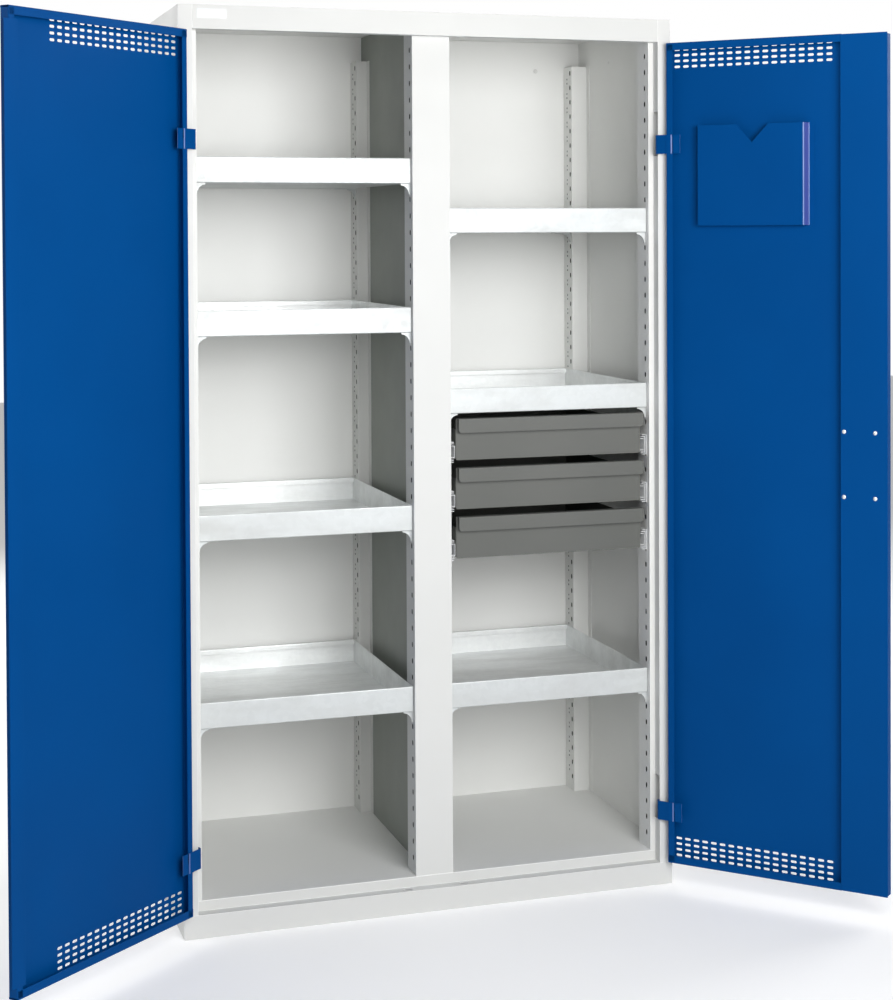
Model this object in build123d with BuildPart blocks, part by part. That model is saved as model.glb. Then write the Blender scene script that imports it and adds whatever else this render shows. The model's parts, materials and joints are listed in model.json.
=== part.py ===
# Two-door storage cabinet with perforated doors, trays on one side and trays and drawers on the other.
# X runs across the width from the centre line, Y runs back from the front face, Z runs up from the floor.
# The doors are drawn in their open position, as they stand in the photograph.
import os
from math import cos, radians, sin

from build123d import *

os.makedirs("parts", exist_ok=True)

# Carcass
WIDTH = 1100.0
DEPTH = 600.0
HEIGHT = 1950.0
SHEET = 1.0
HALF = WIDTH / 2
STILE = 30.0
RECESS = 28.0
STRIP = 12.0
PLINTH = 50.0
FLOOR = 72.0
HEADER = 1900.0
BAY_OUTER = HALF - STILE - STRIP
BAY_INNER = 42.0
PARTITION = 28.0

# Slotted uprights
WEB = 60.0
WEB_SHEET = 1.2
FRONT_WEB = 38.0
REAR_WEB = 538.0
UPRIGHT_TOP = 1887.0
LIP = 20.0
SLOT_PITCH = 36.0
SLOT_COUNT = 50
SLOT_TOP = 1871.0
SLOT = (7.0, 11.5)
SLOT_INSET = 12.0

# Trays hang 17.5 above the centre of their slot
TRAY_LIFT = 17.5
TRAY_HEIGHT = 55.0
TRAY_FRONT = 41.0
TRAY_BACK = 590.0
TRAY_GAP = 1.0
TRAY_LIP = 10.0
LEFT_TRAYS = (7, 16, 28, 39)
RIGHT_TRAYS = (10, 21, 39)

# Drawers
DRAWER_TOPS = (1066.5, 958.5, 850.5)
FACE = (58.0, 492.0)
FACE_HEIGHT = 92.0
FACE_FRONT = 45.0
GRIP = (60.0, 489.0)
GRIP_DROP = 31.0
GRIP_FRONT = 28.5
BOX = (57.0, 493.0)
BOX_BACK = 545.0
RAIL_DROP = 74.0

# Doors
DOOR_SHEET = 1.0
LEAF_WIDTH = 517.0
LEAF_BOTTOM = 55.0
LEAF_TOP = 1896.0
PIVOT_X = HALF - 15.0
PIVOT_Y = 5.5
EDGE = 16.5
OUTER = -2.5
INNER = 19.5
FREE = EDGE + LEAF_WIDTH
OPEN_ANGLE = {-1: 137.4, 1: 131.9}
LOCK_BOX = EDGE + 412.0
HOLE = (14.0, 5.5)
HOLE_PITCH = (21.25, 12.8)
HOLE_COUNT = (18, 4)
HOLE_START = 18.0
HOLE_INSET = 14.0

# Hinges
STRAP_SHEET = 1.8
STRAP_HEIGHT = 42.0
STRAP_BOTTOMS = (150.0, 1649.0)
PIN_RADIUS = 2.0
EYE_BORE = 2.05
EYE_RADIUS = 3.85
WINDOW_DROP = 4.0
WINDOW_HEIGHT = 100.0

# Lock
LOCK_U = PIVOT_X - 64.0
LOCK_Z = 975.0
ROD = (14.0, 4.0)
ROD_V = 8.5
ROD_SLOT = 2.5
CRANK = 7.5
SQUARE = (-4.0, 4.0)
SPINDLE_BORE = 5.72
RUNNING = 0.1


def centre(limits):
    return (limits[0] + limits[1]) / 2


def ribbon(path, thickness):
    # Outline of a folded sheet whose middle line is the path, with mitred folds
    points = [Vector(*p) for p in path]
    headings = [(b - a).normalized() for a, b in zip(points, points[1:])]
    normals = [Vector(-h.Y, h.X) for h in headings]
    folds = [(a + b) / (1 + a.dot(b)) for a, b in zip(normals, normals[1:])]
    offsets = [m * thickness / 2 for m in [normals[0], *folds, normals[-1]]]
    near = [p + o for p, o in zip(points, offsets)]
    far = [p - o for p, o in zip(points, offsets)]
    return near + far[::-1]


def sheet(plane, path, length, thickness=SHEET):
    with BuildSketch(plane) as section:
        with BuildLine():
            Polyline(*ribbon(path, thickness), close=True)
        make_face()
    extrude(section.sketch, amount=length, dir=plane.z_dir)


def bar(x, y, z, plane=Plane.XY, mode=Mode.ADD):
    low, high = min(x), max(x)
    near, rear = min(y), max(y)
    with BuildSketch(plane.offset(z[0])) as section:
        with Locations((centre((low, high)), centre((near, rear)))):
            Rectangle(high - low, rear - near)
    extrude(section.sketch, amount=z[1] - z[0], dir=plane.z_dir, mode=mode)


def pin(plane, at, radius, z, mode=Mode.ADD):
    with BuildSketch(plane.offset(z[0])) as section:
        with Locations(at):
            RegularPolygon(radius, 12, major_radius=mode == Mode.ADD)
    extrude(section.sketch, amount=z[1] - z[0], dir=plane.z_dir, mode=mode)


def leaf(side):
    # Plan of an open leaf: x along the leaf from the pivot; y is into the cabinet when side is -1
    angle = radians(OPEN_ANGLE[side])
    along = (-side * cos(angle), -sin(angle), 0)
    return Plane(origin=(side * PIVOT_X, PIVOT_Y, 0), x_dir=along, z_dir=(0, 0, 1))


def leaf_face(side, depth=0.0):
    # Elevation of an open leaf: x along the leaf from the pivot, y up
    plan = leaf(side)
    origin = plan.origin - plan.y_dir * side * depth
    return Plane(origin=origin, x_dir=plan.x_dir, z_dir=plan.x_dir.cross(Vector(0, 0, 1)))


def turned(side, path):
    return [(u, -side * v) for u, v in path]


def leaf_sheet(side, path, z, thickness=DOOR_SHEET):
    sheet(leaf(side).offset(z[0]), turned(side, path), z[1] - z[0], thickness)


def leaf_bar(side, u, v, z, mode=Mode.ADD):
    bar(u, (-side * v[0], -side * v[1]), z, leaf(side), mode)


def side_panel(side):
    x = side * (HALF - SHEET / 2)
    fold = side * (HALF - STILE - SHEET / 2 + SHEET)
    inner = side * (BAY_OUTER + SHEET / 2)
    front = SHEET / 2
    strip = RECESS + SHEET / 2
    wall = [(x, DEPTH), (x, front), (fold, front), (fold, strip), (inner, strip), (inner, FRONT_WEB - 0.5)]
    sheet(Plane.XY.offset(PLINTH), wall, HEIGHT - PLINTH - SHEET)
    cap = [(x, DEPTH), (x, front), (side * (HALF - STILE), front)]
    sheet(Plane.XY.offset(HEIGHT - SHEET), cap, SHEET)
    bar((side * HALF, side * (HALF - SHEET)), (SHEET, DEPTH), (0, PLINTH))
    for bottom in STRAP_BOTTOMS:
        window = (bottom - WINDOW_DROP, bottom - WINDOW_DROP + WINDOW_HEIGHT)
        bar((fold - 1, fold + 1), (SHEET, RECESS), window, mode=Mode.SUBTRACT)


with BuildPart() as side_panel_left:
    side_panel(-1)
side_panel_left.part.label = "side_panel_left"
export_step(side_panel_left.part, "parts/side_panel_left.step")

with BuildPart() as side_panel_right:
    side_panel(1)
side_panel_right.part.label = "side_panel_right"
export_step(side_panel_right.part, "parts/side_panel_right.step")

with BuildPart() as back_panel:
    bar((SHEET - HALF, HALF - SHEET), (DEPTH - SHEET, DEPTH), (0, HEIGHT))
back_panel.part.label = "back_panel"
export_step(back_panel.part, "parts/back_panel.step")

with BuildPart() as top_panel:
    bar((SHEET - HALF, HALF - SHEET), (SHEET, DEPTH - SHEET), (HEIGHT - SHEET, HEIGHT))
top_panel.part.label = "top_panel"
export_step(top_panel.part, "parts/top_panel.step")


def rod_holes(level):
    # Slots that take the ends of the locking rods when the doors are shut
    width, depth = ROD[0] / 2 + ROD_SLOT, ROD[1] / 2 + ROD_SLOT
    y = PIVOT_Y + ROD_V
    for x in (LOCK_U - PIVOT_X, PIVOT_X - LOCK_U):
        bar((x - width, x + width), (y - depth, y + depth), (level - 1, level + 2), mode=Mode.SUBTRACT)


with BuildPart() as header:
    span = HALF - STILE
    low = HEADER + SHEET / 2
    back = RECESS - SHEET / 2
    fold = [(SHEET / 2, HEIGHT), (SHEET / 2, low), (back, low), (back, HEADER + 22)]
    sheet(Plane.YZ.offset(-span), fold, 2 * span)
    rod_holes(HEADER)
header.part.label = "header"
export_step(header.part, "parts/header.step")

with BuildPart() as sill:
    reach = HALF - SHEET
    high = PLINTH - SHEET / 2
    fold = [(RECESS, SHEET / 2), (SHEET / 2, SHEET / 2), (SHEET / 2, high), (RECESS, high)]
    sheet(Plane.YZ.offset(-reach), fold, 2 * reach)
    bar((-HALF, HALF), (0, SHEET), (0, PLINTH))
    bar((STILE - HALF, HALF - STILE), (RECESS - SHEET, RECESS), (PLINTH, FLOOR - SHEET))
    rod_holes(PLINTH - SHEET)
sill.part.label = "sill"
export_step(sill.part, "parts/sill.step")

with BuildPart() as floor_panel:
    bar((SHEET - HALF, HALF - SHEET), (FRONT_WEB, DEPTH - SHEET), (FLOOR - SHEET, FLOOR))
    bar((-BAY_OUTER, BAY_OUTER), (RECESS - SHEET, FRONT_WEB), (FLOOR - SHEET, FLOOR))
floor_panel.part.label = "floor_panel"
export_step(floor_panel.part, "parts/floor_panel.step")

with BuildPart() as centre_post:
    edge = BAY_INNER - SHEET / 2
    strip = RECESS + SHEET / 2
    fold = [(-edge, FRONT_WEB), (-edge, strip), (edge, strip), (edge, FRONT_WEB)]
    sheet(Plane.XY.offset(FLOOR), fold, HEIGHT - SHEET - FLOOR)
centre_post.part.label = "centre_post"
export_step(centre_post.part, "parts/centre_post.step")

with BuildPart() as partition:
    edge = (PARTITION - SHEET) / 2
    fold = [(-edge, DEPTH - SHEET), (-edge, FRONT_WEB + 0.5), (edge, FRONT_WEB + 0.5), (edge, DEPTH - SHEET)]
    sheet(Plane.XY.offset(FLOOR), fold, HEIGHT - SHEET - FLOOR)
partition.part.label = "partition"
export_step(partition.part, "parts/partition.step")


def upright(web_x, wall_x, slots, front, lip_end):
    # web_x is the web's face in the bay and wall_x the sheet that carries the upright
    outward = 1 if wall_x > web_x else -1
    web = web_x + outward * WEB_SHEET / 2
    back = wall_x - outward * WEB_SHEET / 2
    turn = front + WEB_SHEET / 2
    fold = [(web, front + WEB), (web, turn), (back, turn), (back, lip_end)]
    if lip_end > front:
        # A front upright has a second return, which closes the space behind its slots
        fold[:1] = [(wall_x, front + WEB), (web, front + WEB)]
    sheet(Plane.XY.offset(FLOOR), fold, UPRIGHT_TOP - FLOOR, WEB_SHEET)
    with BuildSketch(Plane.YZ.offset(web - 2)) as row:
        with Locations(*[(front + SLOT_INSET, SLOT_TOP - SLOT_PITCH * slot) for slot in slots]):
            Rectangle(*SLOT)
    extrude(row.sketch, amount=4, dir=(1, 0, 0), mode=Mode.SUBTRACT)


ALL_SLOTS = range(SLOT_COUNT)
LEFT_SLOTS = [slot + 1 for slot in LEFT_TRAYS]
RIGHT_SLOTS = [slot + 1 for slot in RIGHT_TRAYS]
FRONT = (FRONT_WEB, FRONT_WEB + LIP)
REAR = (REAR_WEB, REAR_WEB - LIP)
WALL = HALF - SHEET
SKIN = PARTITION / 2

with BuildPart() as upright_left_wall_front:
    upright(-BAY_OUTER, -WALL, LEFT_SLOTS, *FRONT)
upright_left_wall_front.part.label = "upright_left_wall_front"
export_step(upright_left_wall_front.part, "parts/upright_left_wall_front.step")

with BuildPart() as upright_left_wall_rear:
    upright(-BAY_OUTER, -WALL, LEFT_SLOTS, *REAR)
upright_left_wall_rear.part.label = "upright_left_wall_rear"
export_step(upright_left_wall_rear.part, "parts/upright_left_wall_rear.step")

with BuildPart() as upright_left_middle_front:
    upright(-BAY_INNER, -SKIN, ALL_SLOTS, *FRONT)
upright_left_middle_front.part.label = "upright_left_middle_front"
export_step(upright_left_middle_front.part, "parts/upright_left_middle_front.step")

with BuildPart() as upright_left_middle_rear:
    upright(-BAY_INNER, -SKIN, ALL_SLOTS, *REAR)
upright_left_middle_rear.part.label = "upright_left_middle_rear"
export_step(upright_left_middle_rear.part, "parts/upright_left_middle_rear.step")

with BuildPart() as upright_right_middle_front:
    upright(BAY_INNER, SKIN, RIGHT_SLOTS, *FRONT)
upright_right_middle_front.part.label = "upright_right_middle_front"
export_step(upright_right_middle_front.part, "parts/upright_right_middle_front.step")

with BuildPart() as upright_right_middle_rear:
    upright(BAY_INNER, SKIN, RIGHT_SLOTS, *REAR)
upright_right_middle_rear.part.label = "upright_right_middle_rear"
export_step(upright_right_middle_rear.part, "parts/upright_right_middle_rear.step")

with BuildPart() as upright_right_wall_front:
    upright(BAY_OUTER, WALL, ALL_SLOTS, *FRONT)
upright_right_wall_front.part.label = "upright_right_wall_front"
export_step(upright_right_wall_front.part, "parts/upright_right_wall_front.step")

with BuildPart() as upright_right_wall_rear:
    upright(BAY_OUTER, WALL, ALL_SLOTS, *REAR)
upright_right_wall_rear.part.label = "upright_right_wall_rear"
export_step(upright_right_wall_rear.part, "parts/upright_right_wall_rear.step")


def tray_top(slot):
    return SLOT_TOP - SLOT_PITCH * slot + TRAY_LIFT


def tray(side, slot):
    # A pan with a plain front apron and sides, and a folded lip along its back edge
    top = tray_top(slot)
    bottom = top - TRAY_HEIGHT
    x = sorted((side * (BAY_INNER + TRAY_GAP), side * (BAY_OUTER - TRAY_GAP)))
    base = bottom + SHEET / 2
    front = TRAY_FRONT + SHEET / 2
    back = TRAY_BACK - SHEET / 2
    lip = top - SHEET / 2
    fold = [(front, top), (front, base), (back, base), (back, lip), (TRAY_BACK - TRAY_LIP, lip)]
    sheet(Plane.YZ.offset(x[0]), fold, x[1] - x[0])
    for edge in ((x[0], x[0] + SHEET), (x[1] - SHEET, x[1])):
        bar(edge, (TRAY_FRONT + SHEET, TRAY_BACK - SHEET), (bottom + SHEET, top))


with BuildPart() as tray_left_1:
    tray(-1, LEFT_TRAYS[0])
tray_left_1.part.label = "tray_left_1"
export_step(tray_left_1.part, "parts/tray_left_1.step")

with BuildPart() as tray_left_2:
    tray(-1, LEFT_TRAYS[1])
tray_left_2.part.label = "tray_left_2"
export_step(tray_left_2.part, "parts/tray_left_2.step")

with BuildPart() as tray_left_3:
    tray(-1, LEFT_TRAYS[2])
tray_left_3.part.label = "tray_left_3"
export_step(tray_left_3.part, "parts/tray_left_3.step")

with BuildPart() as tray_left_4:
    tray(-1, LEFT_TRAYS[3])
tray_left_4.part.label = "tray_left_4"
export_step(tray_left_4.part, "parts/tray_left_4.step")

with BuildPart() as tray_right_1:
    tray(1, RIGHT_TRAYS[0])
tray_right_1.part.label = "tray_right_1"
export_step(tray_right_1.part, "parts/tray_right_1.step")

with BuildPart() as tray_right_2:
    tray(1, RIGHT_TRAYS[1])
tray_right_2.part.label = "tray_right_2"
export_step(tray_right_2.part, "parts/tray_right_2.step")

with BuildPart() as tray_right_3:
    tray(1, RIGHT_TRAYS[2])
tray_right_3.part.label = "tray_right_3"
export_step(tray_right_3.part, "parts/tray_right_3.step")


def clip(web_x, toward, y, slot, reach):
    # Hooked bracket: tongue through the slot, lip behind the web, and a curved gusset under the tray
    top = tray_top(slot) - TRAY_HEIGHT
    seat = SLOT_TOP - SLOT_PITCH * (slot + 1) - SLOT[1] / 2
    hook = [(-3.2, top), (-3.2, top - 14), (-1.4, top - 14), (-1.4, seat), (0, seat)]
    gusset = [(0, top - 24), (3, top - 24), (5.5, top - 16), (11, top - 8), (21, top - 4), (21, top)]
    outline = [(web_x + toward * x, z) for x, z in hook + gusset]
    with BuildSketch(Plane.XZ.offset(-y - 1.8)) as bracket:
        with BuildLine():
            Polyline(*outline, close=True)
        make_face()
    extrude(bracket.sketch, amount=3.6, dir=(0, -1, 0))
    if reach:
        bar((web_x, web_x + toward * reach), (y - 6, y + 6), (top - 1.5, top))


def clips(side, slots):
    for slot in slots:
        for y, reach in ((FRONT_WEB + SLOT_INSET, 0), (REAR_WEB + SLOT_INSET, 50)):
            clip(side * BAY_INNER, side, y, slot, reach)
            clip(side * BAY_OUTER, -side, y, slot, reach)


with BuildPart() as tray_clips_left:
    clips(-1, LEFT_TRAYS)
tray_clips_left.part.label = "tray_clips_left"
export_step(tray_clips_left.part, "parts/tray_clips_left.step")

with BuildPart() as tray_clips_right:
    clips(1, RIGHT_TRAYS)
tray_clips_right.part.label = "tray_clips_right"
export_step(tray_clips_right.part, "parts/tray_clips_right.step")


def channel(inner_x, toward, level, half_height, depth, y, gauge=1.2):
    # C-shaped rail section with its back at inner_x and its flanges reaching toward the drawer or the web
    back = inner_x + toward * gauge / 2
    tip = inner_x + toward * depth
    edge = half_height - gauge / 2
    path = [(tip, -edge), (back, -edge), (back, edge), (tip, edge)]
    plane = Plane(origin=(0, y[0], level), x_dir=(1, 0, 0), z_dir=(0, 1, 0))
    sheet(plane, path, y[1] - y[0], gauge)


with BuildPart() as drawer_outer_rails:
    for top in DRAWER_TOPS:
        channel(BAY_INNER, 1, top - RAIL_DROP, 22.5, 11, (44, 560))
        channel(BAY_OUTER, -1, top - RAIL_DROP, 22.5, 11, (44, 560))
drawer_outer_rails.part.label = "drawer_outer_rails"
export_step(drawer_outer_rails.part, "parts/drawer_outer_rails.step")


def middle_rails(top):
    channel(BAY_INNER + 2.2, 1, top - RAIL_DROP, 18.5, 10.3, (48, 548))
    channel(BAY_OUTER - 2.2, -1, top - RAIL_DROP, 18.5, 10.3, (48, 548))


def inner_rails(top):
    channel(BOX[0], -1, top - RAIL_DROP, 13.5, 10, (50, 545))
    channel(BOX[1], 1, top - RAIL_DROP, 13.5, 10, (50, 545))


def drawer_box(top):
    # Open tray of one folded sheet for the base and back, with the two sides set on the base
    low = top - FACE_HEIGHT + 3
    high = top - 24
    base = low + SHEET / 2
    back = BOX_BACK - SHEET / 2
    fold = [(FACE_FRONT + SHEET, base), (back, base), (back, high)]
    sheet(Plane.YZ.offset(BOX[0]), fold, BOX[1] - BOX[0])
    for edge in ((BOX[0], BOX[0] + SHEET), (BOX[1] - SHEET, BOX[1])):
        bar(edge, (FACE_FRONT + SHEET, BOX_BACK - SHEET), (low + SHEET, high))


def drawer_front(top):
    # Face plate with its top edge folded forward and down into a grip
    bar(FACE, (FACE_FRONT, FACE_FRONT + SHEET), (top - FACE_HEIGHT, top))
    lip = GRIP_FRONT + SHEET / 2
    high = top - SHEET / 2
    fold = [(lip + 4, top - GRIP_DROP), (lip, top - GRIP_DROP), (lip, high), (FACE_FRONT + SHEET, high)]
    sheet(Plane.YZ.offset(GRIP[0]), fold, GRIP[1] - GRIP[0])


with BuildPart() as drawer_1_box:
    drawer_box(DRAWER_TOPS[0])
drawer_1_box.part.label = "drawer_1_box"
export_step(drawer_1_box.part, "parts/drawer_1_box.step")

with BuildPart() as drawer_1_front:
    drawer_front(DRAWER_TOPS[0])
drawer_1_front.part.label = "drawer_1_front"
export_step(drawer_1_front.part, "parts/drawer_1_front.step")

with BuildPart() as drawer_1_inner_rails:
    inner_rails(DRAWER_TOPS[0])
drawer_1_inner_rails.part.label = "drawer_1_inner_rails"
export_step(drawer_1_inner_rails.part, "parts/drawer_1_inner_rails.step")

with BuildPart() as drawer_1_middle_rails:
    middle_rails(DRAWER_TOPS[0])
drawer_1_middle_rails.part.label = "drawer_1_middle_rails"
export_step(drawer_1_middle_rails.part, "parts/drawer_1_middle_rails.step")

with BuildPart() as drawer_2_box:
    drawer_box(DRAWER_TOPS[1])
drawer_2_box.part.label = "drawer_2_box"
export_step(drawer_2_box.part, "parts/drawer_2_box.step")

with BuildPart() as drawer_2_front:
    drawer_front(DRAWER_TOPS[1])
drawer_2_front.part.label = "drawer_2_front"
export_step(drawer_2_front.part, "parts/drawer_2_front.step")

with BuildPart() as drawer_2_inner_rails:
    inner_rails(DRAWER_TOPS[1])
drawer_2_inner_rails.part.label = "drawer_2_inner_rails"
export_step(drawer_2_inner_rails.part, "parts/drawer_2_inner_rails.step")

with BuildPart() as drawer_2_middle_rails:
    middle_rails(DRAWER_TOPS[1])
drawer_2_middle_rails.part.label = "drawer_2_middle_rails"
export_step(drawer_2_middle_rails.part, "parts/drawer_2_middle_rails.step")

with BuildPart() as drawer_3_box:
    drawer_box(DRAWER_TOPS[2])
drawer_3_box.part.label = "drawer_3_box"
export_step(drawer_3_box.part, "parts/drawer_3_box.step")

with BuildPart() as drawer_3_front:
    drawer_front(DRAWER_TOPS[2])
drawer_3_front.part.label = "drawer_3_front"
export_step(drawer_3_front.part, "parts/drawer_3_front.step")

with BuildPart() as drawer_3_inner_rails:
    inner_rails(DRAWER_TOPS[2])
drawer_3_inner_rails.part.label = "drawer_3_inner_rails"
export_step(drawer_3_inner_rails.part, "parts/drawer_3_inner_rails.step")

with BuildPart() as drawer_3_middle_rails:
    middle_rails(DRAWER_TOPS[2])
drawer_3_middle_rails.part.label = "drawer_3_middle_rails"
export_step(drawer_3_middle_rails.part, "parts/drawer_3_middle_rails.step")


def hinge_brackets(side):
    # Two ears on a plate at the wall, with the pin riveted between them
    pivot = (side * PIVOT_X, PIVOT_Y)
    for bottom in STRAP_BOTTOMS:
        top = bottom + STRAP_HEIGHT
        bar((side * WALL, side * (WALL - 1.6)), (SHEET, 9), (bottom - 3, top + 3))
        for low in (bottom - 3, top + 0.5):
            bar((side * WALL, side * (PIVOT_X - 5)), (SHEET, 10), (low, low + 2.5))
        pin(Plane.XY, pivot, PIN_RADIUS, (bottom - 0.5, top + 0.5))


def hinge_straps(side):
    # Goose-neck strap: eye on the pin, back along the side wall, then forward onto the leaf's inner edge
    neck = [(-3.0, 1.0), (-11.8, 7.1), (-12.0, 12.5), (-7.5, 19.9), (-6.0, 20.4), (35.0, 20.4)]
    for bottom in STRAP_BOTTOMS:
        levels = (bottom, bottom + STRAP_HEIGHT)
        leaf_sheet(side, neck, levels, STRAP_SHEET)
        with BuildSketch(leaf(side).offset(bottom)) as eye:
            RegularPolygon(EYE_RADIUS, 10)
        extrude(eye.sketch, amount=STRAP_HEIGHT, dir=(0, 0, 1))
        pin(leaf(side), (0, 0), EYE_BORE, (bottom - 1, bottom + STRAP_HEIGHT + 1), Mode.SUBTRACT)


with BuildPart() as hinge_brackets_left:
    hinge_brackets(-1)
hinge_brackets_left.part.label = "hinge_brackets_left"
export_step(hinge_brackets_left.part, "parts/hinge_brackets_left.step")

with BuildPart() as hinge_brackets_right:
    hinge_brackets(1)
hinge_brackets_right.part.label = "hinge_brackets_right"
export_step(hinge_brackets_right.part, "parts/hinge_brackets_right.step")

with BuildPart() as hinge_straps_left:
    hinge_straps(-1)
hinge_straps_left.part.label = "hinge_straps_left"
export_step(hinge_straps_left.part, "parts/hinge_straps_left.step")

with BuildPart() as hinge_straps_right:
    hinge_straps(1)
hinge_straps_right.part.label = "hinge_straps_right"
export_step(hinge_straps_right.part, "parts/hinge_straps_right.step")


def perforations(side):
    span = HOLE_PITCH[0] * (HOLE_COUNT[0] - 1)
    rise = HOLE_PITCH[1] * (HOLE_COUNT[1] - 1)
    u = EDGE + HOLE_START + span / 2
    with BuildSketch(leaf_face(side, OUTER)) as holes:
        for level in (LEAF_BOTTOM + HOLE_INSET + rise / 2, LEAF_TOP - HOLE_INSET - rise / 2):
            with Locations((u, level)):
                with GridLocations(*HOLE_PITCH, *HOLE_COUNT):
                    Rectangle(*HOLE)
    extrude(holes.sketch, amount=3, both=True, mode=Mode.SUBTRACT)


def leaf_pan(side, hem_end, free_path):
    # Pan with returns along its inner edges, and rows of holes at its top and bottom
    half = DOOR_SHEET / 2
    skin = OUTER + half
    rim = INNER - half
    fold = [(EDGE + 16, rim), (EDGE + half, rim), (EDGE + half, skin), (FREE - half, skin), *free_path]
    leaf_sheet(side, fold, (LEAF_BOTTOM + DOOR_SHEET, LEAF_TOP - DOOR_SHEET))
    for low, inward in ((LEAF_BOTTOM, 1), (LEAF_TOP - DOOR_SHEET, -1)):
        leaf_bar(side, (EDGE, FREE), (OUTER, free_path[0][1] + half), (low, low + DOOR_SHEET))
        leaf_bar(side, (EDGE, hem_end), (INNER - 4, INNER), (low, low + DOOR_SHEET))
        edge = low if inward > 0 else low - 12
        leaf_bar(side, (EDGE, hem_end), (INNER - DOOR_SHEET, INNER), (edge, edge + 12 + DOOR_SHEET))
    perforations(side)


def rod_passage(low, high):
    # Opening for a flat rod with running clearance all round
    width, depth = ROD[0] / 2 + RUNNING, ROD[1] / 2 + RUNNING
    leaf_bar(1, (LOCK_U - width, LOCK_U + width), (ROD_V - depth, ROD_V + depth), (low, high), Mode.SUBTRACT)


def lock_plate(u, z, v, mode=Mode.ADD):
    leaf_bar(1, (LOCK_U + u[0], LOCK_U + u[1]), v, (LOCK_Z + z[0], LOCK_Z + z[1]), mode)


def lock_boss(at, radius, v, sides=0, mode=Mode.ADD):
    # Boss through the right leaf's thickness from depth v[0] to depth v[1], round or with flat sides
    with BuildSketch(leaf_face(1, v[0])) as boss:
        with Locations(at):
            if sides:
                RegularPolygon(radius, sides)
            else:
                Circle(radius)
    extrude(boss.sketch, amount=v[1] - v[0], dir=-leaf(1).y_dir, mode=mode)


with BuildPart() as door_panel_left:
    rim_left = INNER - DOOR_SHEET / 2
    leaf_pan(-1, FREE, [(FREE - DOOR_SHEET / 2, rim_left), (FREE - 14, rim_left)])
door_panel_left.part.label = "door_panel_left"
export_step(door_panel_left.part, "parts/door_panel_left.step")

with BuildPart() as closing_strip:
    leaf_bar(-1, (FREE - 21, FREE + 14.5), (INNER, INNER + 1.2), (LEAF_BOTTOM + 25, LEAF_TOP - 25))
closing_strip.part.label = "closing_strip"
export_step(closing_strip.part, "parts/closing_strip.step")

with BuildPart() as door_panel_right:
    leaf_pan(1, LOCK_BOX, [(FREE - DOOR_SHEET / 2, INNER - 1.3 - DOOR_SHEET / 2)])
    for low in (LEAF_BOTTOM - 1, LEAF_TOP - 2):
        rod_passage(low, low + 3)
    lock_plate((-8, 8), (-8, 8), (OUTER - 1, OUTER + 2), Mode.SUBTRACT)
door_panel_right.part.label = "door_panel_right"
export_step(door_panel_right.part, "parts/door_panel_right.step")

with BuildPart() as lock_box_cover:
    lid = INNER - 0.3 - DOOR_SHEET / 2
    wall = LOCK_BOX + DOOR_SHEET / 2
    levels = (LEAF_BOTTOM + DOOR_SHEET, LEAF_TOP - DOOR_SHEET)
    leaf_sheet(1, [(wall, OUTER + DOOR_SHEET), (wall, lid), (FREE, lid)], levels)
lock_box_cover.part.label = "lock_box_cover"
export_step(lock_box_cover.part, "parts/lock_box_cover.step")

with BuildPart() as document_pocket:
    left = EDGE + 76
    right = EDGE + 335
    base = OUTER + DOOR_SHEET
    front = INNER - DOOR_SHEET / 2
    pocket = [(left, base), (left, front), (right, front), (right, base + 0.5), (right + 14, base + 0.5)]
    leaf_sheet(1, pocket, (1488, 1710))
    leaf_bar(1, (left, right), (base, front), (1488, 1489))
    with BuildSketch(leaf_face(1, front)):
        with BuildLine():
            Polyline((left + 94, 1712), (left + 131, 1670), (left + 170, 1712), close=True)
        make_face()
    extrude(amount=2, both=True, mode=Mode.SUBTRACT)
document_pocket.part.label = "document_pocket"
export_step(document_pocket.part, "parts/document_pocket.step")

with BuildPart() as lock_case:
    rim = INNER - 1.3 - 0.6
    arm = [(LOCK_U - 40, rim), (LOCK_U - 26, rim), (LOCK_U - 26, 0), (LOCK_U + 26, 0), (LOCK_U + 26, rim)]
    leaf_sheet(1, [*arm, (LOCK_U + 40, rim)], (LOCK_Z - 80, LOCK_Z + 80), 1.2)
    lock_boss((LOCK_U, LOCK_Z), SPINDLE_BORE, (-1, 1), mode=Mode.SUBTRACT)
lock_case.part.label = "lock_case"
export_step(lock_case.part, "parts/lock_case.step")

with BuildPart() as handle_plate:
    lock_plate((-22, 22), (-70, 30), (OUTER - 7, OUTER))
    chamfer(handle_plate.edges().filter_by(lambda e: abs(e.length - 7) < 0.01), 8)
    lock_boss((LOCK_U, LOCK_Z), SPINDLE_BORE, (OUTER - 8, OUTER + 1), mode=Mode.SUBTRACT)
handle_plate.part.label = "handle_plate"
export_step(handle_plate.part, "parts/handle_plate.step")

with BuildPart() as handle_lever:
    # Round hub over the spindle's square end, with a flat bar that points to the hinge when unlocked
    lock_boss((LOCK_U, LOCK_Z), 14, (OUTER - 46, OUTER - 7.5), 12)
    lock_plate((-125, 0), (-10, 10), (OUTER - 46, OUTER - 37))
    along = Axis((0, 0, 0), leaf(1).x_dir)
    ends = handle_lever.edges().filter_by(lambda e: abs(e.length - 9) < 0.01).sort_by(along)
    chamfer(ends[:2], 6)
    lock_plate(SQUARE, SQUARE, (OUTER - 40, OUTER - 7), Mode.SUBTRACT)
handle_lever.part.label = "handle_lever"
export_step(handle_lever.part, "parts/handle_lever.step")

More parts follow.
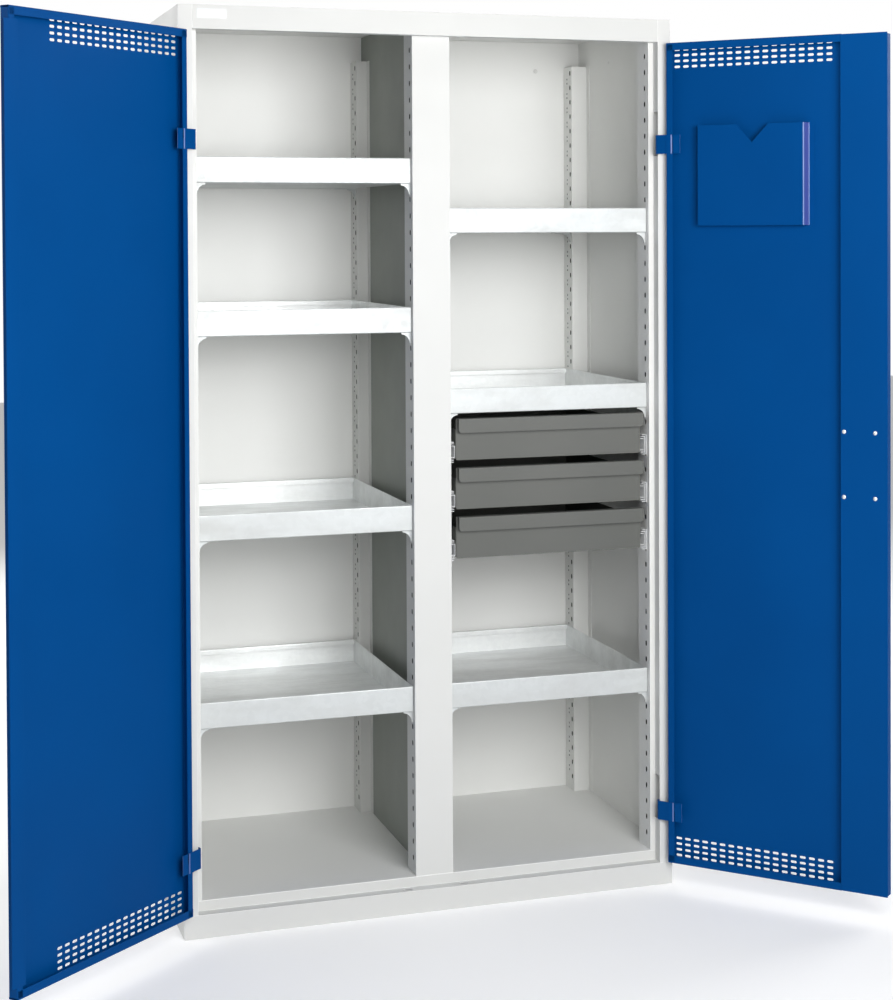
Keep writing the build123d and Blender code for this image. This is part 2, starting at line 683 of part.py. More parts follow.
with BuildPart() as lock_cam:
    # Square spindle and a two-armed cam whose pins lift one rod and lower the other
    lock_plate(SQUARE, SQUARE, (OUTER - 40, 6))
    with BuildSketch(leaf_face(1, 2.5)) as cam:
        with BuildLine():
            arms = [(14, -7), (7, -14), (-3, -8), (-14, 7), (-7, 14), (3, 8)]
            Polyline(*[(LOCK_U + u, LOCK_Z + z) for u, z in arms], close=True)
        make_face()
    extrude(cam.sketch, amount=3.5, dir=-leaf(1).y_dir)
    lock_boss((LOCK_U + CRANK, LOCK_Z - CRANK), 2.5, (6, 11), 8)
    lock_boss((LOCK_U - CRANK, LOCK_Z + CRANK), 2.5, (6, 11), 8)
lock_cam.part.label = "lock_cam"
export_step(lock_cam.part, "parts/lock_cam.step")


def lock_rod(sign, end):
    # Flat rod with a fork beside the cam; the cam's pin runs in the fork's slot
    layer = (ROD_V - ROD[1] / 2, ROD_V + ROD[1] / 2)
    fork = sorted((LOCK_Z - sign * (CRANK + 7), LOCK_Z + sign * 36))
    leaf_bar(1, sorted((LOCK_U + sign * 1.5, LOCK_U + sign * 18)), layer, fork)
    leaf_bar(1, (LOCK_U - ROD[0] / 2, LOCK_U + ROD[0] / 2), layer, sorted((LOCK_Z + sign * 24, end)))
    pin = LOCK_Z - sign * CRANK
    slot = sorted((LOCK_U + sign * 4.3, LOCK_U + sign * 14))
    leaf_bar(1, slot, (layer[0] - 1, layer[1] + 1), (pin - 3.1, pin + 3.1), Mode.SUBTRACT)


with BuildPart() as lock_rod_upper:
    lock_rod(1, LEAF_TOP - 3)
lock_rod_upper.part.label = "lock_rod_upper"
export_step(lock_rod_upper.part, "parts/lock_rod_upper.step")

with BuildPart() as lock_rod_lower:
    lock_rod(-1, LEAF_BOTTOM + 3)
lock_rod_lower.part.label = "lock_rod_lower"
export_step(lock_rod_lower.part, "parts/lock_rod_lower.step")

with BuildPart() as rod_guides:
    for level in (250, 600, 1350, 1700):
        leaf_bar(1, (LOCK_U - 14, LOCK_U + 14), (OUTER + DOOR_SHEET, 14), (level, level + 20))
        rod_passage(level - 1, level + 21)
rod_guides.part.label = "rod_guides"
export_step(rod_guides.part, "parts/rod_guides.step")
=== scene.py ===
# Two-door steel storage cabinet with perforated doors, slotted uprights, hung trays and drawers
import json
import math

import bmesh
import bpy
from mathutils import Matrix, Vector


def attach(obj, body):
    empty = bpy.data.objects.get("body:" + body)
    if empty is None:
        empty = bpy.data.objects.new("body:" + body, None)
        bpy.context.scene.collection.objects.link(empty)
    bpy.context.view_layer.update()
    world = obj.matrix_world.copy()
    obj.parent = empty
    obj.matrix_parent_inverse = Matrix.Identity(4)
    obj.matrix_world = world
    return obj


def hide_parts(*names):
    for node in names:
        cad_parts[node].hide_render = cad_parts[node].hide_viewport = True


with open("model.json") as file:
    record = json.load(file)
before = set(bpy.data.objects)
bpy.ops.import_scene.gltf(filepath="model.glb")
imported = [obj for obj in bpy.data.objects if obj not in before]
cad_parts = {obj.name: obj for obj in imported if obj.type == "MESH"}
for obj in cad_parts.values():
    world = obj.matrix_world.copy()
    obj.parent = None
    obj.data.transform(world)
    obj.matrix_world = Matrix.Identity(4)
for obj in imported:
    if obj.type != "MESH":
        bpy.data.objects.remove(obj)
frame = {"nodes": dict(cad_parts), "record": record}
nodes = frame["nodes"]
slotOf = {part["node"]: part["material_slot"] for part in frame["record"]["subparts"]}
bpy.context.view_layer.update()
print("frame loaded with", len(nodes), "nodes")


def fillSockets(tree, sockets, values):
    # A value is either another node's output or a plain number
    for socket, value in zip(sockets, values):
        if hasattr(value, "is_output"):
            tree.links.new(value, socket)
        else:
            socket.default_value = value


def addMath(tree, operation, *values):
    node = tree.nodes.new("ShaderNodeMath")
    node.operation = operation
    fillSockets(tree, node.inputs, values)
    return node.outputs[0]


def spread(tree, value, low, high, newLow, newHigh):
    node = tree.nodes.new("ShaderNodeMapRange")
    for key, number in (("From Min", low), ("From Max", high), ("To Min", newLow), ("To Max", newHigh)):
        node.inputs[key].default_value = number
    tree.links.new(value, node.inputs["Value"])
    return node.outputs["Result"]


cameraSetup = {
    "place": (-1.19003, -4.18103, 1.47453),
    "yaw": 0.333905,
    "pitch": -0.019254,
    "roll": -0.003864,
    "focalPixels": 2008.82,
    "principal": (549.10, 270.90),
    "image": (893, 1000),
    "sensor": 36.0,
}


def placeCamera(setup):
    cosYaw, sinYaw = math.cos(setup["yaw"]), math.sin(setup["yaw"])
    cosPitch, sinPitch = math.cos(setup["pitch"]), math.sin(setup["pitch"])
    right = Vector((cosYaw, -sinYaw, 0))
    forward = Vector((sinYaw * cosPitch, cosYaw * cosPitch, sinPitch))
    up = right.cross(forward)
    cosRoll, sinRoll = math.cos(setup["roll"]), math.sin(setup["roll"])
    axisX = right * cosRoll + up * sinRoll
    axisY = up * cosRoll - right * sinRoll
    data = bpy.data.cameras.new("photoCamera")
    camera = bpy.data.objects.new("photoCamera", data)
    bpy.context.scene.collection.objects.link(camera)
    turn = Matrix((axisX, axisY, -forward)).transposed().to_4x4()
    camera.matrix_world = Matrix.Translation(setup["place"]) @ turn
    wide, high = setup["image"]
    longest = max(wide, high)
    data.sensor_width = setup["sensor"]
    data.lens = setup["focalPixels"] * setup["sensor"] / longest
    data.shift_x = (wide / 2 - setup["principal"][0]) / longest
    data.shift_y = (setup["principal"][1] - high / 2) / longest
    bpy.context.scene.camera = camera


lightSetup = {
    "world": 0.12,
    "aim": (0.0, 0.3, 1.0),
    "lamps": {
        "softNear": {"place": (0.1, -2.2, 1.8), "size": (1.4, 0.9), "power": 27},
        "softMiddle": {"place": (-0.1, -4.2, 1.5), "size": (1.4, 1.2), "power": 38},
        "softRight": {"place": (0.9, -4.2, 1.8), "size": (1.4, 1.4), "power": 47},
        "softLeft": {"place": (-1.6, -4.2, 2.4), "size": (1.4, 1.4), "power": 7},
        "softBack": {"place": (0.3, 4.6, 2.6), "size": (3.0, 2.0), "power": 110},
        "softLeftSide": {"place": (-4.0, 1.2, 2.6), "size": (2.0, 2.0), "power": 70,
                         "aim": (-0.5, 0.4, 1.0)},
        "softRightSide": {"place": (4.0, 1.2, 2.6), "size": (2.0, 2.0), "power": 55,
                          "aim": (0.5, 0.4, 1.0)},
    },
}


def addLamp(name, lamp):
    data = bpy.data.lights.new(name, "AREA")
    data.shape = "RECTANGLE"
    data.size, data.size_y = lamp["size"]
    data.energy = lamp["power"]
    light = bpy.data.objects.new(name, data)
    light.location = lamp["place"]
    aim = Vector(lamp.get("aim", lightSetup["aim"])) - Vector(lamp["place"])
    light.rotation_euler = aim.to_track_quat("-Z", "Y").to_euler()
    light.visible_camera = False
    bpy.context.scene.collection.objects.link(light)


def seenRays(tree):
    # 1 where the camera, a reflection or a glass surface looks, 0 where light is gathered
    rays = tree.nodes.new("ShaderNodeLightPath")
    seen = addMath(tree, "MAXIMUM", rays.outputs["Is Camera Ray"], rays.outputs["Is Glossy Ray"])
    return addMath(tree, "MAXIMUM", seen, rays.outputs["Is Transmission Ray"])


def makeWorld(strength):
    world = bpy.data.worlds.new("paleStudio")
    world.use_nodes = True
    tree = world.node_tree
    background = tree.nodes["Background"]
    background.inputs["Color"].default_value = (1, 1, 1, 1)
    level = spread(tree, seenRays(tree), 0.0, 1.0, strength, 1.0)
    tree.links.new(level, background.inputs["Strength"])
    bpy.context.scene.world = world


floorSetup = {"reach": 14, "colour": (0.83, 0.83, 0.83, 1), "roughness": 0.8, "glow": 0.3}


def makeFloor(setup):
    reach = setup["reach"]
    mesh = bpy.data.meshes.new("studioFloor")
    corners = [(-reach, -reach, 0), (reach, -reach, 0), (reach, reach, 0), (-reach, reach, 0)]
    mesh.from_pydata(corners, [], [(0, 1, 2, 3)])
    floor = bpy.data.objects.new("studioFloor", mesh)
    bpy.context.scene.collection.objects.link(floor)
    material = bpy.data.materials.new("paleFloor")
    material.use_nodes = True
    tree = material.node_tree
    shader = tree.nodes["Principled BSDF"]
    shader.inputs["Base Color"].default_value = setup["colour"]
    shader.inputs["Roughness"].default_value = setup["roughness"]
    shader.inputs["Emission Color"].default_value = (1, 1, 1, 1)
    glow = addMath(tree, "MULTIPLY", seenRays(tree), setup["glow"])
    tree.links.new(glow, shader.inputs["Emission Strength"])
    mesh.materials.append(material)


placeCamera(cameraSetup)
for lampName, lampValues in lightSetup["lamps"].items():
    addLamp(lampName, lampValues)
makeWorld(lightSetup["world"])
makeFloor(floorSetup)
bpy.context.scene.view_settings.view_transform = "Standard"
print("camera, light and floor placed")


def startMaterial(name):
    material = bpy.data.materials.new(name)
    material.use_nodes = True
    tree = material.node_tree
    place = tree.nodes.new("ShaderNodeTexCoord")
    return material, tree, tree.nodes["Principled BSDF"], place.outputs["Object"]


def stretched(tree, place, scale, turn=(0.0, 0.0, 0.0)):
    mapping = tree.nodes.new("ShaderNodeMapping")
    mapping.inputs["Scale"].default_value = scale
    mapping.inputs["Rotation"].default_value = turn
    tree.links.new(place, mapping.inputs["Vector"])
    return mapping.outputs["Vector"]


def noise(tree, place, scale, detail, rough=0.5):
    node = tree.nodes.new("ShaderNodeTexNoise")
    node.inputs["Scale"].default_value = scale
    node.inputs["Detail"].default_value = detail
    node.inputs["Roughness"].default_value = rough
    tree.links.new(place, node.inputs["Vector"])
    return node.outputs["Fac"]


def blendColour(tree, factor, first, second):
    node = tree.nodes.new("ShaderNodeMix")
    node.data_type = "RGBA"
    tree.links.new(factor, node.inputs["Factor"])
    for socket, colour in (("A", first), ("B", second)):
        target = [item for item in node.inputs if item.name == socket and item.type == "RGBA"][0]
        if isinstance(colour, tuple):
            target.default_value = (*colour, 1)
        else:
            tree.links.new(colour, target)
    return [item for item in node.outputs if item.type == "RGBA"][0]


def roughen(tree, shader, height, strength, distance):
    bump = tree.nodes.new("ShaderNodeBump")
    bump.inputs["Strength"].default_value = strength
    bump.inputs["Distance"].default_value = distance
    tree.links.new(height, bump.inputs["Height"])
    tree.links.new(bump.outputs["Normal"], shader.inputs["Normal"])


# A noise is given as its scale, detail and roughness, and most of its values lie in midRange
midRange = (0.3, 0.7)
powderBase = {"wear": 0.3, "roughness": (0.42, 0.55), "peel": 520.0, "peelShare": 0.35, "peelDepth": 0.00012,
              "gloss": 0.3, "clouds": (2.3, 3.0), "smudges": (9.0, 4.0, 0.6), "scuffs": (3.1, 6.0, 0.7),
              "scuffRange": (0.69, 0.76), "scuffStretch": (30, 30, 7), "wallInside": (0.5492, 0.5496),
              "stileInside": (0.030, 0.034)}


def powderCoat(name, given):
    # Baked powder paint: orange peel, faint clouds of shade, wiped smudges and a few pale scuffs
    finish = {**powderBase, **given}
    material, tree, shader, place = startMaterial(name)
    clouds = spread(tree, noise(tree, place, *finish["clouds"]), *midRange, 0.0, 1.0)
    colour = blendColour(tree, clouds, finish["shade"], finish["colour"])
    scuffs = noise(tree, stretched(tree, place, finish["scuffStretch"]), *finish["scuffs"])
    worn = spread(tree, scuffs, *finish["scuffRange"], 0.0, finish["wear"])
    colour = blendColour(tree, worn, colour, finish["scuff"])
    if "inside" in finish:
        # painted light: the same sheet is paler on its face towards the bays, standing in for the light
        # within them
        axes = tree.nodes.new("ShaderNodeSeparateXYZ")
        tree.links.new(place, axes.inputs["Vector"])
        aside = spread(tree, addMath(tree, "ABSOLUTE", axes.outputs["X"]), *finish["wallInside"], 1.0, 0.0)
        behind = spread(tree, axes.outputs["Y"], *finish["stileInside"], 0.0, 1.0)
        colour = blendColour(tree, addMath(tree, "MULTIPLY", aside, behind), colour, finish["inside"])
    tree.links.new(colour, shader.inputs["Base Color"])
    smudges = noise(tree, place, *finish["smudges"])
    tree.links.new(spread(tree, smudges, *midRange, *finish["roughness"]), shader.inputs["Roughness"])
    roughen(tree, shader, noise(tree, place, finish["peel"], 1.0), finish["peelShare"], finish["peelDepth"])
    shader.inputs["Specular IOR Level"].default_value = finish["gloss"]
    return material


zincBase = {"crystals": 95.0, "dull": 0.1,
            "smears": (1.6, 5.0, 0.6), "smearRange": (0.42, 0.72, 0.0, 0.7),
            "smearStretch": (3.0, 11.0, 11.0), "smearTurn": 0.6,
            "streaks": (1.1, 3.0, 0.55), "streakRange": (0.60, 0.70, 0.0, 0.55),
            "streakStretch": (5.0, 42.0, 14.0), "streakTurn": 0.35,
            "grain": (160.0, 3.0), "grainShare": 0.2, "grainDepth": 0.0001}


def zincSheet(name, given):
    # Hot-dip zinc: crystals of slightly different shade, drawn smears and dull patches
    finish = {**zincBase, **given}
    material, tree, shader, place = startMaterial(name)
    crystals = tree.nodes.new("ShaderNodeTexVoronoi")
    crystals.inputs["Scale"].default_value = finish["crystals"]
    tree.links.new(place, crystals.inputs["Vector"])
    shade = tree.nodes.new("ShaderNodeSeparateColor")
    tree.links.new(crystals.outputs["Color"], shade.inputs["Color"])
    drawn = stretched(tree, place, finish["smearStretch"], (0.0, 0.0, finish["smearTurn"]))
    smears = noise(tree, drawn, *finish["smears"])
    drawn = stretched(tree, place, finish["streakStretch"], (0.0, 0.0, finish["streakTurn"]))
    streaks = noise(tree, drawn, *finish["streaks"])
    colour = blendColour(tree, shade.outputs["Red"], finish["shade"], finish["colour"])
    colour = blendColour(tree, spread(tree, smears, *finish["smearRange"]), colour, finish["bloom"])
    colour = blendColour(tree, spread(tree, streaks, *finish["streakRange"]), colour, finish["streak"])
    tree.links.new(colour, shader.inputs["Base Color"])
    dull = addMath(tree, "MULTIPLY_ADD", shade.outputs["Green"], finish["dull"],
                   spread(tree, smears, *midRange, *finish["roughness"]))
    tree.links.new(dull, shader.inputs["Roughness"])
    shader.inputs["Metallic"].default_value = finish["metal"]
    roughen(tree, shader, noise(tree, place, *finish["grain"]), finish["grainShare"], finish["grainDepth"])
    return material


steelBase = {"lines": (20.0, 3.0, 0.6), "lineShare": 0.15, "lineDepth": 0.00005}


def smoothSteel(name, given):
    # Zinc-plated or bright steel with drawing lines along its length
    finish = {**steelBase, **given}
    material, tree, shader, place = startMaterial(name)
    lines = noise(tree, stretched(tree, place, finish["grain"]), *finish["lines"])
    colour = blendColour(tree, spread(tree, lines, *midRange, 0.0, 1.0), finish["shade"], finish["colour"])
    tree.links.new(colour, shader.inputs["Base Color"])
    tree.links.new(spread(tree, lines, *midRange, *finish["roughness"]), shader.inputs["Roughness"])
    shader.inputs["Metallic"].default_value = finish["metal"]
    roughen(tree, shader, lines, finish["lineShare"], finish["lineDepth"])
    return material


# The first seven are named after the slots of the record
finishes = {
    "carcass_grey": (powderCoat, {"colour": (0.73, 0.733, 0.715), "shade": (0.70, 0.705, 0.685),
                                  "scuff": (0.62, 0.62, 0.60), "wear": 0.35}),
    "door_blue": (powderCoat, {"colour": (0.0, 0.066, 0.257), "shade": (0.0, 0.058, 0.23),
                               "scuff": (0.004, 0.088, 0.29), "wear": 0.4, "gloss": 0.05}),
    # the hinge brackets' own grey, set darker as painted shade for the dark slit in the stile where they
    # show
    "hinge_grey": (powderCoat, {"colour": (0.62, 0.62, 0.60), "shade": (0.56, 0.56, 0.545),
                                "scuff": (0.4, 0.4, 0.4), "wear": 0.5, "roughness": (0.4, 0.52)}),
    "drawer_anthracite": (powderCoat, {"colour": (0.135, 0.138, 0.128), "shade": (0.105, 0.11, 0.102),
                                       "scuff": (0.26, 0.26, 0.25), "wear": 0.4, "roughness": (0.4, 0.52),
                                       "peel": 560.0}),
    "galvanised": (zincSheet, {"colour": (0.595, 0.62, 0.62), "shade": (0.565, 0.59, 0.59),
                               "bloom": (0.50, 0.51, 0.50), "streak": (0.71, 0.73, 0.73),
                               "roughness": (0.36, 0.5), "metal": 0.25}),
    "slide_steel": (smoothSteel, {"colour": (0.90, 0.91, 0.91), "shade": (0.76, 0.77, 0.78),
                                  "grain": (40, 1.5, 40), "roughness": (0.3, 0.45), "metal": 0.15}),
    "handle_black": (powderCoat, {"colour": (0.028, 0.029, 0.03), "shade": (0.02, 0.02, 0.021),
                                  "scuff": (0.12, 0.12, 0.12), "roughness": (0.45, 0.6), "peel": 300.0,
                                  "gloss": 0.5}),
    "rivetZinc": (smoothSteel, {"colour": (0.9, 0.9, 0.9), "shade": (0.72, 0.73, 0.74),
                                "grain": (60, 60, 60), "roughness": (0.2, 0.35), "metal": 0.7}),
    # painted shade: a darker grey for the partition, standing in for the shade on its face in the left bay
    "partitionGrey": (powderCoat, {"colour": (0.29, 0.31, 0.28), "shade": (0.265, 0.285, 0.255),
                                   "scuff": (0.27, 0.29, 0.26)}),
    # painted light: a paler copy of the carcass grey for the back, top and floor panels and most uprights,
    # standing in for the light that reaches the bays
    "panelWhite": (powderCoat, {"colour": (0.9, 0.903, 0.885), "shade": (0.87, 0.875, 0.855),
                                "scuff": (0.74, 0.74, 0.72)}),
    # painted shade: a near-black finish for the faces in the upright boxes and the slot walls, which lie in
    # shade
    "paintedShadeInside": (powderCoat, {"colour": (0.02, 0.02, 0.02), "shade": (0.012, 0.012, 0.012),
                                "scuff": (0.05, 0.05, 0.05), "wear": 0.2, "roughness": (0.6, 0.8),
                                "peel": 300.0, "gloss": 0.1}),
    # painted highlight: a lighter, glossier blue for the strap edges and bends, the strap tail ends and the
    # pocket's far bends
    "rubbedBlue": (powderCoat, {"colour": (0.13, 0.20, 0.46), "shade": (0.08, 0.15, 0.40),
                                "scuff": (0.3, 0.36, 0.6), "wear": 0.4, "roughness": (0.3, 0.42),
                                "peel": 400.0, "gloss": 0.5}),
    # painted highlight: a lighter blue for the pocket's sloping side
    "paintedHighlightSideBlue": (powderCoat, {"colour": (0.085, 0.11, 0.38), "shade": (0.065, 0.09, 0.34),
                              "scuff": (0.1, 0.13, 0.4), "wear": 0.4, "roughness": (0.35, 0.45),
                              "peel": 400.0}),
    # painted highlight: a near-white grey for the bevelled edges of the header, sill, centre post and side
    # panels, and for the side-wall dimple
    "rubbedGrey": (powderCoat, {"colour": (0.93, 0.93, 0.92), "shade": (0.90, 0.90, 0.89),
                                "scuff": (0.8, 0.8, 0.8), "roughness": (0.3, 0.42), "peel": 400.0,
                                "gloss": 0.5}),
    # painted light: a paler copy of the tray zinc for the tray faces that are lit
    "paintedLightTrayZinc": (zincSheet, {"colour": (0.87, 0.89, 0.885), "shade": (0.83, 0.85, 0.85),
                               "bloom": (0.70, 0.71, 0.70), "streak": (0.93, 0.94, 0.94),
                               "roughness": (0.3, 0.42), "metal": 0.3}),
    # painted light: the side panels take a paler colour on their faces towards the bays
    "sidePaint": (powderCoat, {"colour": (0.76, 0.763, 0.745), "shade": (0.73, 0.735, 0.715),
                               "scuff": (0.62, 0.62, 0.60), "wear": 0.35, "inside": (0.9, 0.903, 0.885)}),
    "barePlate": (powderCoat, {"colour": (0.74, 0.76, 0.76), "shade": (0.66, 0.69, 0.69),
                               "scuff": (0.5, 0.5, 0.5), "wear": 0.2, "roughness": (0.25, 0.35),
                               "peel": 90.0, "gloss": 0.5}),
}
materials = {name: make(name, finish) for name, (make, finish) in finishes.items()}
print("materials made:", len(materials))


# Turns for flat work: local x, y and z go along Y, Z and X, or along X, Z and Y
alongX = Matrix(((0, 0, 1, 0), (1, 0, 0, 0), (0, 1, 0, 0), (0, 0, 0, 1)))
standing = Matrix(((1, 0, 0, 0), (0, 0, 1, 0), (0, 1, 0, 0), (0, 0, 0, 1)))
facing = 0.5  # a face looks along an axis when its normal's share of it passes this


def foldPoints(path, thickness, bend, steps):
    # Middle line of a folded sheet with round bends, as (point, normal) pairs
    points = [Vector(p) for p in path]
    heads = [(b - a).normalized() for a, b in zip(points, points[1:])]
    reach = bend + thickness / 2
    line = [(points[0], Vector((-heads[0].y, heads[0].x)))]
    for corner, before, after in zip(points[1:], heads, heads[1:]):
        turn = before.angle_signed(after)
        side = -1 if turn > 0 else 1  # angle_signed counts clockwise turns as positive
        normal = Vector((-before.y, before.x)) * side
        start = corner - before * reach * math.tan(abs(turn) / 2)
        middle = start + normal * reach
        for step in range(steps + 1):
            around = Matrix.Rotation(side * abs(turn) * step / steps, 2)
            arm = around @ (-normal)
            line.append((middle + arm * reach, -arm * side))
    line.append((points[-1], Vector((-heads[-1].y, heads[-1].x))))
    return line


def foldedSheet(shape, path, thickness, low, high, place, bend, steps=3, bendFinish=0):
    # Adds a folded sheet to the bmesh: path in local x and y, its length along local z from low to high
    line = foldPoints(path, thickness, bend, steps)
    rings = []
    for level in (low, high):
        near = [shape.verts.new(place @ Vector((*(p + n * thickness / 2), level))) for p, n in line]
        far = [shape.verts.new(place @ Vector((*(p - n * thickness / 2), level))) for p, n in line]
        rings.append((near, far))
    (nearLow, farLow), (nearHigh, farHigh) = rings
    faces = []
    for i in range(len(line) - 1):
        faces.append((nearLow[i], nearLow[i + 1], nearHigh[i + 1], nearHigh[i]))
        faces.append((farLow[i + 1], farLow[i], farHigh[i], farHigh[i + 1]))
        faces.append((nearLow[i + 1], nearLow[i], farLow[i], farLow[i + 1]))
        faces.append((nearHigh[i], nearHigh[i + 1], farHigh[i + 1], farHigh[i]))
    for i in (0, -1):
        faces.append((nearLow[i], nearHigh[i], farHigh[i], farLow[i]))
    made = [shape.faces.new(face) for face in faces]
    for number, face in enumerate(made[:4 * (len(line) - 1)]):
        if number // 4 % (steps + 1):
            face.material_index = bendFinish
    bmesh.ops.recalc_face_normals(shape, faces=made)


def solidPlate(shape, outline, place, thick):
    # Extrudes a flat outline (local x and y) along local z
    under = [shape.verts.new(place @ Vector((x, y, 0))) for x, y in outline]
    over = [shape.verts.new(place @ Vector((x, y, thick))) for x, y in outline]
    faces = [shape.faces.new(under[::-1]), shape.faces.new(over)]
    for i in range(len(outline)):
        j = (i + 1) % len(outline)
        faces.append(shape.faces.new((under[i], under[j], over[j], over[i])))
    bmesh.ops.recalc_face_normals(shape, faces=faces)


def roundedOutline(left, right, low, high, radius, steps, lowerOnly=False):
    outline = []
    for x, z, start in ((right, high, 0), (left, high, 90), (left, low, 180), (right, low, 270)):
        if lowerOnly and start < 180:
            outline.append((x, z))
            continue
        inX = x - radius if x == right else x + radius
        inZ = z - radius if z == high else z + radius
        for step in range(steps + 1):
            angle = math.radians(start + 90 * step / steps)
            outline.append((inX + radius * math.cos(angle), inZ + radius * math.sin(angle)))
    return outline


def finishPiece(name, shape, paints, body, replaced=(), smooth=False):
    # Turns the bmesh into an object at the origin that rides on its body
    mesh = bpy.data.meshes.new(name)
    shape.to_mesh(mesh)
    shape.free()
    for paint in paints:
        mesh.materials.append(materials[paint])
    for face in mesh.polygons:
        face.use_smooth = smooth
    piece = bpy.data.objects.new(name, mesh)
    bpy.context.scene.collection.objects.link(piece)
    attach(piece, body)
    if replaced:
        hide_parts(*replaced)


def newTree(name, sockets):
    tree = bpy.data.node_groups.new(name, "GeometryNodeTree")
    tree.interface.new_socket("Geometry", in_out="OUTPUT", socket_type="NodeSocketGeometry")
    for label, kind, default in sockets:
        socket = tree.interface.new_socket(label, in_out="INPUT", socket_type="NodeSocket" + kind)
        if default is not None:
            socket.default_value = default
    return tree, tree.nodes.new("NodeGroupInput").outputs, tree.nodes.new("NodeGroupOutput").inputs[0]


def addNode(tree, kind, **values):
    node = tree.nodes.new("GeometryNode" + kind)
    fillSockets(tree, [node.inputs[key.replace("_", " ")] for key in values], values.values())
    return node


def addVector(tree, x, y, z=0.0):
    node = tree.nodes.new("ShaderNodeCombineXYZ")
    fillSockets(tree, node.inputs, (x, y, z))
    return node.outputs[0]


def spotInstances(tree, points, shape, **values):
    copies = addNode(tree, "InstanceOnPoints", Points=points, Instance=shape, **values)
    return addNode(tree, "RealizeInstances", Geometry=copies.outputs[0]).outputs[0]


endRound = 0.49  # share of a hole's narrow side that its ends are rounded by
weldGap = 0.000002  # joins a plate's two faces to its edges


def roundedHole(tree, wide, high, steps):
    # Outline of one oblong hole with round ends
    outline = addNode(tree, "CurvePrimitiveQuadrilateral", Width=wide, Height=high)
    radius = addMath(tree, "MULTIPLY", addMath(tree, "MINIMUM", wide, high), endRound)
    fillet = addNode(tree, "FilletCurve", Curve=outline.outputs[0], Radius=radius)
    fillet.mode = "POLY"
    tree.links.new(steps, fillet.inputs["Count"])
    return fillet.outputs[0]


def endTree(tree, take, output, geometry):
    real = addNode(tree, "RealizeInstances", Geometry=geometry)
    finish = addNode(tree, "SetMaterial", Geometry=real.outputs[0], Material=take["Material"])
    tree.links.new(finish.outputs[0], output)


def punchedPlate(tree, take, output, holes):
    # Fills between the outline and the holes, gives the plate its thickness and its finish
    outline = addNode(tree, "CurvePrimitiveQuadrilateral", Width=take["Width"], Height=take["Height"])
    placed = addNode(tree, "Transform", Geometry=outline.outputs[0], Translation=take["Centre"])
    together = addNode(tree, "JoinGeometry")
    for curve in (placed.outputs[0], *holes):
        tree.links.new(curve, together.inputs[0])
    flat = addNode(tree, "FillCurve", Curve=together.outputs[0])
    risen = addNode(tree, "ExtrudeMesh", Mesh=flat.outputs[0], Offset=addVector(tree, 0.0, 0.0, 1.0),
                    Offset_Scale=take["Thickness"], Individual=False)
    under = addNode(tree, "FlipFaces", Mesh=flat.outputs[0])
    closed = addNode(tree, "JoinGeometry")
    for side in (risen, under):
        tree.links.new(side.outputs[0], closed.inputs[0])
    welded = addNode(tree, "MergeByDistance", Geometry=closed.outputs[0], Distance=weldGap)
    endTree(tree, take, output, welded.outputs[0])


def perforatedSkinTree():
    tree, take, output = newTree("perforatedSkin", (
        ("Width", "Float", 0.5), ("Height", "Float", 1.8), ("Centre", "Vector", None),
        ("Thickness", "Float", 0.001), ("Hole Width", "Float", 0.014), ("Hole Height", "Float", 0.0055),
        ("End Steps", "Int", 3), ("Columns", "Int", 18), ("Rows", "Int", 4),
        ("Pitch Across", "Float", 0.02125), ("Pitch Up", "Float", 0.0128), ("Lower Field", "Vector", None),
        ("Upper Field", "Vector", None), ("Material", "Material", None)))
    hole = roundedHole(tree, take["Hole Width"], take["Hole Height"], take["End Steps"])
    across = addMath(tree, "MULTIPLY", take["Pitch Across"], addMath(tree, "SUBTRACT", take["Columns"], 1.0))
    up = addMath(tree, "MULTIPLY", take["Pitch Up"], addMath(tree, "SUBTRACT", take["Rows"], 1.0))
    grid = addNode(tree, "MeshGrid", Size_X=across, Size_Y=up, Vertices_X=take["Columns"],
                   Vertices_Y=take["Rows"])
    fields = []
    for field in ("Lower Field", "Upper Field"):
        moved = addNode(tree, "Transform", Geometry=grid.outputs[0], Translation=take[field])
        fields.append(spotInstances(tree, moved.outputs[0], hole))
    punchedPlate(tree, take, output, fields)
    return tree


def slottedWebTree():
    tree, take, output = newTree("slottedWeb", (
        ("Width", "Float", 0.06), ("Height", "Float", 1.815), ("Centre", "Vector", None),
        ("Thickness", "Float", 0.0012), ("Slot Width", "Float", 0.0045), ("Slot Height", "Float", 0.0115),
        ("Hole", "Float", 0.004), ("End Steps", "Int", 3), ("Count", "Int", 50), ("Hole Count", "Int", 49),
        ("Pitch", "Float", 0.036), ("First Slot", "Vector", None), ("First Hole", "Vector", None),
        ("Pair Gap", "Float", 0.01), ("Material", "Material", None)))
    slot = roundedHole(tree, take["Slot Width"], take["Slot Height"], take["End Steps"])
    small = roundedHole(tree, take["Hole"], take["Hole"], take["End Steps"])
    upper = addNode(tree, "Transform", Geometry=small, Translation=addVector(tree, 0.0, take["Pair Gap"]))
    rise = addVector(tree, 0.0, take["Pitch"])
    rows = []
    for shape, first, many in ((slot, "First Slot", "Count"), (small, "First Hole", "Hole Count"),
                               (upper.outputs[0], "First Hole", "Hole Count")):
        line = addNode(tree, "MeshLine", Count=take[many], Start_Location=take[first], Offset=rise)
        rows.append(spotInstances(tree, line.outputs[0], shape))
    punchedPlate(tree, take, output, rows)
    return tree


